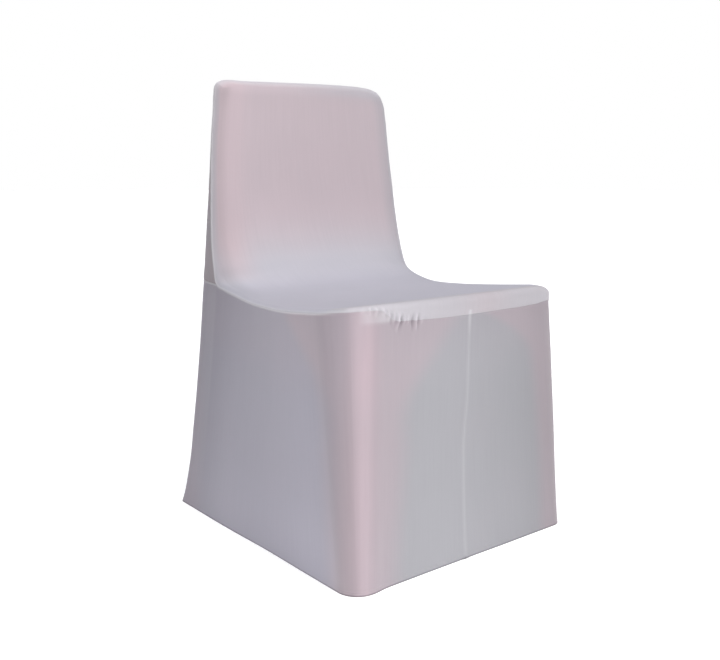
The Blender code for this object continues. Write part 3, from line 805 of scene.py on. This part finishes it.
# The tones below are strengths, and pairs of places between which a tone comes or goes. Three
# numbers are a strength and such a pair. A spot is its middle and its width.
# Seams, whose allowance shows through as a pale line that also stands for a painted highlight along the
# seam's ridge, and all tones where the front seam starts
ALLOWANCE = (0.0008, 0.004)
INNER_SEAM_PALE = 0.46
OUTER_SEAM_PALE = 0.80
SKIRT_SEAM_PALE = 0.70
SEAM_START = (0.2, 0.2, 0.85, 0.9)
# Painted highlights on the ridges of the puckers and painted shade in the gaps between them
PUCKER_SHADE = 75.0

# Skirt, round its corners
FRONT_ENDS = (-0.262, -0.225)
ROUNDED = (-0.262, -0.235)
SIDE_SEAM_STARTS = (-0.225, -0.19)
LEFT_WARMTH = 0.50
LEFT_FADE = 0.030
RIGHT_WARMTH = 0.52
RIGHT_FADE = 0.02
SIDE_WARMTH = 0.50
SIDE_FADE = 0.035
REAR_WARMTH = (0.26, 0.17, 0.24)
REAR_WARM_X = (0.17, 0.23)
CORNER_SPOT = (-0.232, 0.022)

# Skirt, by height
CORNER_WARMTH = 0.28
CORNER_GAIN = (0.26, 0.26, 0.38)
HIGH_WARMTH = (0.12, 0.28, 0.38)
# Painted shadow: a dark line along the bottom edge of the hem
HEM_SHADE = (0.48, 0.0012, 0.003)

# Skirt's front seam
FRONT_SEAM_PALE = 0.15
FRONT_SEAM_GAIN = (0.28, 0.37, 0.41)
FRONT_ALLOWANCE = (0.001, 0.0055)

# Gathered cloth under the left end of the lip, painted pale: a painted highlight that also lifts the shade
# under the lip
GATHER_PALE = 0.30
GATHER_GAIN = (0.16, -0.19, -0.172)
GATHER_STARTS = (-0.218, -0.198)
GATHER_ENDS = (-0.152, -0.14)
GATHER_FOOT = 0.4165
GATHER_FADE = 0.006

# Outer panel, with painted shade in the gussets down the back, most beside the seam, and painted light at
# their rear folds and over the rear of the back
GUSSET_DEEPENS = (1.5, 6.0)
GUSSET_SHADE = 0.34
GUSSET_WARMTH = 0.55
GUSSET_WARMS = (6.0, 8.5)
FOLD_LIGHT = 0.13
OUTER_COOLNESS = 0.25
REAR_TONE = (0.55, 0.62, 0.45)
MIDDLE_LOSS = (0.4, 0.1, 0.2)

# Inner panel, by station
BACK_WARMTH = (0.8, 6.8, 9.6)
TOP_LOSS = (0.7, 0.5, 2.6)
SEAT_COOLNESS = 0.9
SEAT_COOLS = (7.5, 12.0)
SEAT_WARMS = (17.5, 19.0)
LIP_STARTS = (18.5, 20.0)
# Painted shade: the back darker towards its right, the seat lighter towards its right
SIDE_TILT = 0.035
SEAT_TILT = (0.06, 10.5, 13.5)

# Inner panel, across, with a warm strip beside the left edge and a warmer spot near its top
RIGHT_LOSS = (0.45, 0.84, 1.0)
TOP_RIGHT = (-0.5, 0.9)
STRIP_SPOT = (-0.88, 0.14)
STRIP_WARMTH = 0.32
STRIP_GAIN = (0.28, 7.0, 8.5)
STRIP_ENDS = (9.0, 11.0)
STRIP_SHADE = 0.06
STRIP_DARKENS = (5.5, 8.0)
SPOT = (-0.95, 0.07)
SPOT_STATIONS = (1.6, 1.2)
SPOT_WARMTH = 0.30
SPOT_SHADE = 0.08

# Inner panel, at its turned edges: painted shade on the rolled edges and beside them, more on the left, and
# less warmth on the roll
EDGE_TURNS = (0.86, 1.0)
EDGE_SHADE = 0.9
EDGE_GAIN = (0.1, 3.0, 8.0)
EDGE_ENDS = (10.5, 14.0)
LEFT_SHADE = 0.17
RIGHT_SHADE = 0.06
EDGE_WARMTH = 0.25
EDGE_WARMS = (0.75, 0.003, 0.016)

# Lip: a warm spot, a pale tab where the front seam starts, and a slight paleness over all of it that is
# painted highlight
LIP_WARMTH = 0.10
LIP_SPOT = (0.055, 0.05)
LIP_SPOT_WARMTH = 0.35
LIP_PALE = 0.12
LIP_SEAM_PALE = 0.05
TAB_PALE = 0.95
TAB_WIDTH = 0.0042
TAB_FADE = (0.005, 0.011)


def tint(tone, at):
    """Strength of a tone that comes between two places."""
    strength, low, high = tone
    return strength * ease(low, high, at)


def fade(tone, at):
    """Strength of a tone that goes between two places."""
    strength, low, high = tone
    return strength * (1 - ease(low, high, at))


def allowance(away):
    """How much of a seam's allowance shows at a distance from the seam."""
    return 1 - ease(*ALLOWANCE, away)


def skirt_tone(point, facts):
    """Warmth, coolness, paleness with painted highlight, and painted light and shade of the skirt at a
    point.
    """
    foot = facts.get("foot")
    if foot is None:
        return SEAM_START
    left, right, reach = (curve(WARM_EDGES, name, point.z) for name in ("left_x", "right_x", "side_y"))
    front = 1 - ease(*FRONT_ENDS, point.y)
    warm = LEFT_WARMTH * (1 - ease(left - LEFT_FADE, left + LEFT_FADE, point.x))
    warm += RIGHT_WARMTH * ease(right - RIGHT_FADE, right + RIGHT_FADE, point.x)
    corner = bell(foot.x, *CORNER_SPOT)
    warm = min(1.0, warm + (CORNER_WARMTH + tint(CORNER_GAIN, point.z)) * corner)
    side_warm = SIDE_WARMTH * (1 - ease(reach - SIDE_FADE, reach + SIDE_FADE, point.y))
    rear_warm = tint(REAR_WARMTH, point.y) * ease(*REAR_WARM_X, abs(point.x))
    rear_warm = max(rear_warm, tint(HIGH_WARMTH, point.z))
    warmth = warm * front + max(side_warm, rear_warm) * (1 - front)
    coolness = (1 - front) * (1 - side_warm)

    # Painted light and shade of the skirt: lighter or darker round it and by height, with painted shadow
    # along the hem and painted highlight and shade on the puckers.
    rounded = ease(*ROUNDED, foot.y)
    side_shade = curve(SIDE_SHADES, "painted_shading", foot.y) * curve(HEIGHT_SHADES, "side", point.z)
    front_shade = curve(FRONT_SHADES, "painted_shading", foot.x) * curve(HEIGHT_SHADES, "front", point.z)
    painted_shading = side_shade * rounded + front_shade * (1 - rounded)
    painted_shading *= 1 - fade(HEM_SHADE, point.z)
    painted_shading *= 1 + PUCKER_SHADE * facts.get("pucker", 0.0)

    on_side = ease(*SIDE_SEAM_STARTS, facts["start"].y)
    top = SKIRT_SEAM_PALE * on_side * allowance(facts["down"])
    centre = FRONT_SEAM_PALE + tint(FRONT_SEAM_GAIN, point.z)
    centre *= 1 - ease(*FRONT_ALLOWANCE, facts["front_seam"])
    gathered = (GATHER_PALE + tint(GATHER_GAIN, point.x)) * ease(*GATHER_STARTS, point.x)
    gathered *= 1 - ease(*GATHER_ENDS, point.x)
    gathered *= (1 - on_side) * ease(GATHER_FOOT, GATHER_FOOT + GATHER_FADE, point.z)
    return warmth, coolness, max(top, centre, gathered), painted_shading


def outer_tone(point, facts):
    """The same four tones of the outer panel at a point."""
    station = facts["place"][1] if "place" in facts else 0
    turn = facts.get("turn", 1.0)
    warmth = fade(REAR_TONE, point.z) * (1 - fade(MIDDLE_LOSS, abs(point.x)))
    deep = ease(*GUSSET_DEEPENS, station) * (1 - turn ** 2)
    warmth = max(warmth, GUSSET_WARMTH * deep * ease(*GUSSET_WARMS, station))
    # Painted shade in the gussets and painted light at the folds and over the rear.
    painted_shading = (1 - GUSSET_SHADE * deep) * (1 + FOLD_LIGHT * turn ** 4)
    return warmth, OUTER_COOLNESS, OUTER_SEAM_PALE * allowance(facts["seam_away"]), painted_shading


def inner_tone(point, facts):
    """The same four tones of the inner panel at a point."""
    away, station, across = facts["seam_away"], facts["station"], facts["across"]
    lip = ease(*LIP_STARTS, station)
    warm = fade(BACK_WARMTH, station) * (1 - tint(RIGHT_LOSS, across))
    warm *= 1 - fade(TOP_LOSS, station) * ease(*TOP_RIGHT, across)
    strip = bell(across, *STRIP_SPOT) * (1 - ease(*STRIP_ENDS, station))
    warm += (STRIP_WARMTH + tint(STRIP_GAIN, station)) * strip
    spot = bell(across, *SPOT) * bell(station, *SPOT_STATIONS)
    warm += SPOT_WARMTH * spot
    lip_warm = LIP_WARMTH + LIP_SPOT_WARMTH * bell(point.x, *LIP_SPOT)
    warm = warm * (1 - lip) + lip * lip_warm
    cool = ease(*SEAT_COOLS, station) * (1 - ease(*SEAT_WARMS, station))

    # Painted light and shade of the inner panel: by station, across it, along its turned edges and on the
    # lip.
    tilt = SIDE_TILT - tint(SEAT_TILT, station)
    painted_shading = curve(PANEL_SHADES, "painted_shading", station) * (1 - tilt * across * (1 - lip))
    painted_shading *= (1 - SPOT_SHADE * spot) * (1 - STRIP_SHADE * strip * ease(*STRIP_DARKENS, station))
    pale_and_highlight = INNER_SEAM_PALE * allowance(away)
    rolled = facts.get("side") == "inner"
    if station == LIP:
        tab = TAB_PALE * bell(point.x, SEAM_TOP_X, TAB_WIDTH)
        pale_and_highlight = max(LIP_SEAM_PALE, tab) * (1 - ease(*TAB_FADE, away))
        painted_shading *= curve(LIP_SHADES, "painted_shading", point.x)
        painted_shading *= 1 + PUCKER_SHADE * facts.get("pucker", 0.0)
    elif station > 0:
        level = 0.0 if rolled else 1 - ease(*EDGE_TURNS, abs(across))
        edge = (EDGE_SHADE + tint(EDGE_GAIN, station)) * (1 - level) * (1 - ease(*EDGE_ENDS, station))
        painted_shading *= 1 - (LEFT_SHADE if across < 0 else RIGHT_SHADE) * edge
    if rolled and station != LIP:
        warm *= EDGE_WARMTH + tint(EDGE_WARMS, away)
    return min(warm, 1.0), cool * SEAT_COOLNESS, max(pale_and_highlight, LIP_PALE * lip), painted_shading


def tones_of(cloth, piece):
    """The four tones at each point of a piece, in rows by point number."""
    tones = np.zeros((len(cloth.points), len(TONE_NAMES)))
    for number in {i for quad, flat in cloth.faces[piece] for i in quad}:
        facts = cloth.facts[number]
        panel = outer_tone if facts.get("side") == "outer" else inner_tone
        tones[number] = (skirt_tone if piece == "skirt" else panel)(cloth.points[number], facts)
    return tones


def mesh_of(cloth, piece, outer, inner, tones):
    """One closed sheet with its weave places and tones."""
    faces = cloth.faces[piece]
    used = sorted({i for quad, flat in faces for i in quad})
    index = {number: k for k, number in enumerate(used)}
    count = len(used)
    vertices = np.concatenate([outer[used], inner[used]])
    quads, places = [], []
    rim = {}
    for quad, flat in faces:
        here = [index[i] for i in quad]
        quads.append(here)
        places.append(flat)
        quads.append([i + count for i in reversed(here)])
        places.append(tuple(reversed(flat)))
        for k in range(4):
            a, b = here[k], here[(k + 1) % 4]
            if (b, a) in rim:
                del rim[(b, a)]
            else:
                rim[(a, b)] = (flat[k], flat[(k + 1) % 4])
    for (a, b), (place_a, place_b) in rim.items():
        quads.append([b, a, a + count, b + count])
        places.append((place_b, place_a, place_a, place_b))
    mesh = bpy.data.meshes.new(piece + "_cloth")
    mesh.from_pydata(vertices.tolist(), [], quads)
    uv = mesh.uv_layers.new(name="weave")
    uv.data.foreach_set("uv", np.array(places, dtype=np.float32).ravel())
    for k, name in enumerate(TONE_NAMES):
        layer = mesh.attributes.new(name, "FLOAT", "POINT")
        layer.data.foreach_set("value", np.tile(tones[used, k], 2).astype(np.float32))
    mesh.polygons.foreach_set("use_smooth", np.ones(len(mesh.polygons), dtype=bool))
    mesh.set_sharp_from_angle(angle=SHARP_ANGLE)
    mesh.update()
    return mesh


# Knit: spacing of its wales and courses, their heights in the bump and in the painted shading of the loops,
# its drift and its streaks
WALE = 0.0011
COURSE = 0.0009
COURSE_BEND = 1.6
WALE_HEIGHT = 0.7
COURSE_HEIGHT = 0.25
MEAN_HEIGHT = 0.45
FUZZ_HEIGHT = 0.4
HEIGHT_LIGHT = 0.05
DRIFT = 0.35
DRIFT_WARMTH = 0.5
DRIFT_LIGHT = 0.10
STREAK_LIGHT = 0.06
ROUGHNESS = 0.58
ROUGHNESS_DRIFT = 0.10
MEAN_NOISE = 0.5


class Nodes:
    """Short way to lay out a material's nodes."""

    def __init__(self, name):
        """A new material with nodes."""
        self.material = bpy.data.materials.new(name)
        self.material.use_nodes = True
        self.tree = self.material.node_tree

    def feed(self, node, values):
        """Gives a node's inputs, by name or number, a number, a colour or another node's output."""
        for key, value in values.items():
            if isinstance(value, bpy.types.NodeSocket):
                self.tree.links.new(value, node.inputs[key])
            else:
                node.inputs[key].default_value = value

    def add(self, kind, values={}, **settings):
        """A new node with its settings and the values of its inputs."""
        node = self.tree.nodes.new(kind)
        for name, value in settings.items():
            setattr(node, name, value)
        self.feed(node, values)
        return node

    def math(self, operation, *values):
        """Output of a calculation."""
        return self.add("ShaderNodeMath", dict(enumerate(values)), operation=operation).outputs[0]

    def about(self, value, mean, share):
        """How far a value lies from its mean, times a share."""
        return self.math("MULTIPLY", self.math("SUBTRACT", value, mean), share)

    def noise(self, place, scale, detail):
        """Output of a noise texture."""
        values = {"Vector": place, "Scale": scale, "Detail": detail}
        return self.add("ShaderNodeTexNoise", values).outputs["Fac"]

    def mix(self, factor, a, b):
        """Output of a mix of two colours."""
        node = self.add("ShaderNodeMix", {"Factor": factor}, data_type="RGBA")
        colours = [i for i, socket in enumerate(node.inputs) if socket.type == "RGBA"]
        self.feed(node, dict(zip(colours, (a, b))))
        return next(socket for socket in node.outputs if socket.type == "RGBA")


def knit_material(piece):
    """Smooth stretch knit: fine wales and courses, soft sheen, slight streaks, tones by attribute with
    painted light and shade.
    """
    n = Nodes(piece + "_knit")
    weave = n.add("ShaderNodeUVMap", uv_map="weave").outputs[0]
    split = n.add("ShaderNodeSeparateXYZ", {0: weave})
    u, v = split.outputs[0], split.outputs[1]
    wale = n.math("ABSOLUTE", n.math("SINE", n.math("MULTIPLY", u, math.pi / WALE)))
    bend = n.math("MULTIPLY", wale, COURSE_BEND)
    course = n.math("SINE", n.math("ADD", n.math("MULTIPLY", v, 2 * math.pi / COURSE), bend))
    height = n.math("ADD", n.math("MULTIPLY", wale, WALE_HEIGHT), n.math("MULTIPLY", course, COURSE_HEIGHT))

    place = n.add("ShaderNodeTexCoord").outputs["Object"]
    fuzz = n.noise(place, 900.0, 2.0)
    cloudy = n.noise(place, 7.0, 3.0)
    streak_place = n.add("ShaderNodeMapping", {"Vector": weave, "Scale": (260.0, 9.0, 1.0)})
    streaks = n.noise(streak_place.outputs[0], 1.0, 1.0)

    warmth, coolness, pale_and_highlight, painted_shading = (
        n.add("ShaderNodeAttribute", attribute_name=name).outputs["Fac"] for name in TONE_NAMES)
    drift = n.about(cloudy, MEAN_NOISE, DRIFT)
    neutral, cool, warm = TONES[piece]
    colour = n.mix(coolness, neutral, cool)
    colour = n.mix(n.math("ADD", warmth, n.math("MULTIPLY", drift, DRIFT_WARMTH)), colour, warm)
    # The pale tone: seam allowance, and painted highlight
    colour = n.mix(pale_and_highlight, colour, PALE_AND_HIGHLIGHT)
    vary = n.math("ADD", n.math("MULTIPLY", drift, DRIFT_LIGHT), n.about(streaks, MEAN_NOISE, STREAK_LIGHT))
    # Painted shading of the knit: the raised loops a little lighter, the hollows a little darker
    vary = n.math("ADD", vary, n.about(height, MEAN_HEIGHT, HEIGHT_LIGHT))
    # The painted light and shade scale the colour's lightness.
    light = n.math("MULTIPLY", n.math("ADD", vary, 1.0), painted_shading)
    bright = n.add("ShaderNodeHueSaturation", {"Value": light, "Color": colour})
    rough = n.math("ADD", n.math("MULTIPLY", cloudy, ROUGHNESS_DRIFT), ROUGHNESS)
    total = n.math("ADD", height, n.math("MULTIPLY", fuzz, FUZZ_HEIGHT))
    bump = n.add("ShaderNodeBump", {"Strength": 0.35, "Distance": 0.00012, "Height": total})
    n.feed(n.tree.nodes["Principled BSDF"], {
        "Base Color": bright.outputs[0],
        "Roughness": rough,
        "Specular IOR Level": 0.25,
        "Sheen Weight": 0.22,
        "Sheen Roughness": 0.55,
        "Sheen Tint": (0.93, 0.9, 0.95, 1.0),
        "Normal": bump.outputs[0],
    })
    return n.material


def link_object(name, data):
    """A new object of the scene with its data."""
    thing = bpy.data.objects.new(name, data)
    bpy.context.scene.collection.objects.link(thing)
    return thing


def make_cover():
    """The three panels by name."""
    cloth = Cloth()
    seams = inner_piece(cloth)
    lower = outer_piece(cloth, seams)
    hem_length = skirt_piece(cloth, seams, lower)
    sag_lip_end(cloth)
    same = np.array(coincident(cloth.points))
    smooth_points = np.array([tuple(p) for p in cloth.points])
    away = normals_of(cloth, smooth_points, same)
    rises = np.array([relief(cloth, i, hem_length) for i in range(len(cloth.points))])[same]
    outer = smooth_points + away * rises[:, None]
    on_floor = smooth_points[:, 2] < TINY
    to_seam = np.array([facts.get("front_seam", FAR) for facts in cloth.facts])
    notch = NOTCH_DEPTH * np.exp(-(to_seam / NOTCH_WIDTH) ** 2)
    outer[on_floor, 2] = notch[on_floor]
    inner = outer - normals_of(cloth, outer, same) * CLOTH
    inner[on_floor, 2] = notch[on_floor]
    outer[:, 2] = np.maximum(outer[:, 2], 0.0)
    inner[:, 2] = np.maximum(inner[:, 2], 0.0)
    made = {}
    for piece in cloth.faces:
        mesh = mesh_of(cloth, piece, outer, inner, tones_of(cloth, piece))
        mesh.materials.append(knit_material(piece))
        made[piece] = link_object(piece + "_cloth", mesh)
    return made


def make_stage():
    """Pale floor and white surroundings, which aren't part of the cover."""
    bpy.ops.mesh.primitive_plane_add(size=60.0)
    floor = bpy.context.active_object
    floor.name = "floor"
    n = Nodes("pale_floor")
    n.feed(n.tree.nodes["Principled BSDF"], {
        "Base Color": (0.9, 0.9, 0.9, 1.0),
        "Emission Color": (1.0, 1.0, 1.0, 1.0),
        "Emission Strength": 0.26,
        "Roughness": 0.9,
        "Specular IOR Level": 0.1,
    })
    floor.data.materials.append(n.material)
    bpy.ops.mesh.primitive_uv_sphere_add(radius=28.0, segments=64, ring_count=32)
    dome = bpy.context.active_object
    dome.name = "surroundings"
    n = Nodes("white_surroundings")
    n.tree.nodes.clear()
    glow = n.add("ShaderNodeEmission", {"Strength": 1.0})
    n.add("ShaderNodeOutputMaterial", {"Surface": glow.outputs[0]})
    dome.data.materials.append(n.material)
    for sight in ("visible_diffuse", "visible_glossy", "visible_transmission", "visible_shadow"):
        setattr(dome, sight, False)


def aim(thing, target):
    """Turns a lamp to a place."""
    thing.rotation_mode = "QUATERNION"
    thing.rotation_quaternion = (Vector(target) - thing.location).to_track_quat("-Z", "Y")


def make_lights():
    """Pale sky, a broad soft light from above and a small softbox before the front."""
    world = bpy.data.worlds.new("studio")
    world.use_nodes = True
    sky = world.node_tree.nodes["Background"]
    sky.inputs["Color"].default_value = (0.93, 0.95, 1.0, 1.0)
    sky.inputs["Strength"].default_value = 0.25
    bpy.context.scene.world = world
    sun = bpy.data.lights.new("soft_overhead", "SUN")
    sun.energy = 2.85
    sun.angle = math.radians(50)
    lamp = link_object("soft_overhead", sun)
    lamp.location = (-0.03, -0.2, 0.95)
    aim(lamp, (0, 0, 0))
    key = bpy.data.lights.new("front_softbox", "AREA")
    key.energy = 1.0
    key.size = 0.35
    box = link_object("front_softbox", key)
    box.location = (-0.15, -0.78, 0.26)
    box.visible_camera = False
    aim(box, (-0.12, -0.2, 0.26))


def make_camera():
    """Camera where the photograph was taken from."""
    data = bpy.data.cameras.new("camera")
    data.sensor_width = 36.0
    data.lens = 45.40
    data.clip_end = 200.0
    camera = link_object("camera", data)
    camera.location = (-1.0549, -1.293, 0.65)
    camera.rotation_euler = (math.radians(90 - 10.049), 0.0, math.radians(-38.792))
    bpy.context.scene.camera = camera


make_camera()
cover = make_cover()
for piece, thing in cover.items():
    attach(thing, "root")
    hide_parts(piece)
make_stage()
make_lights()
bpy.context.scene.view_settings.view_transform = "Standard"
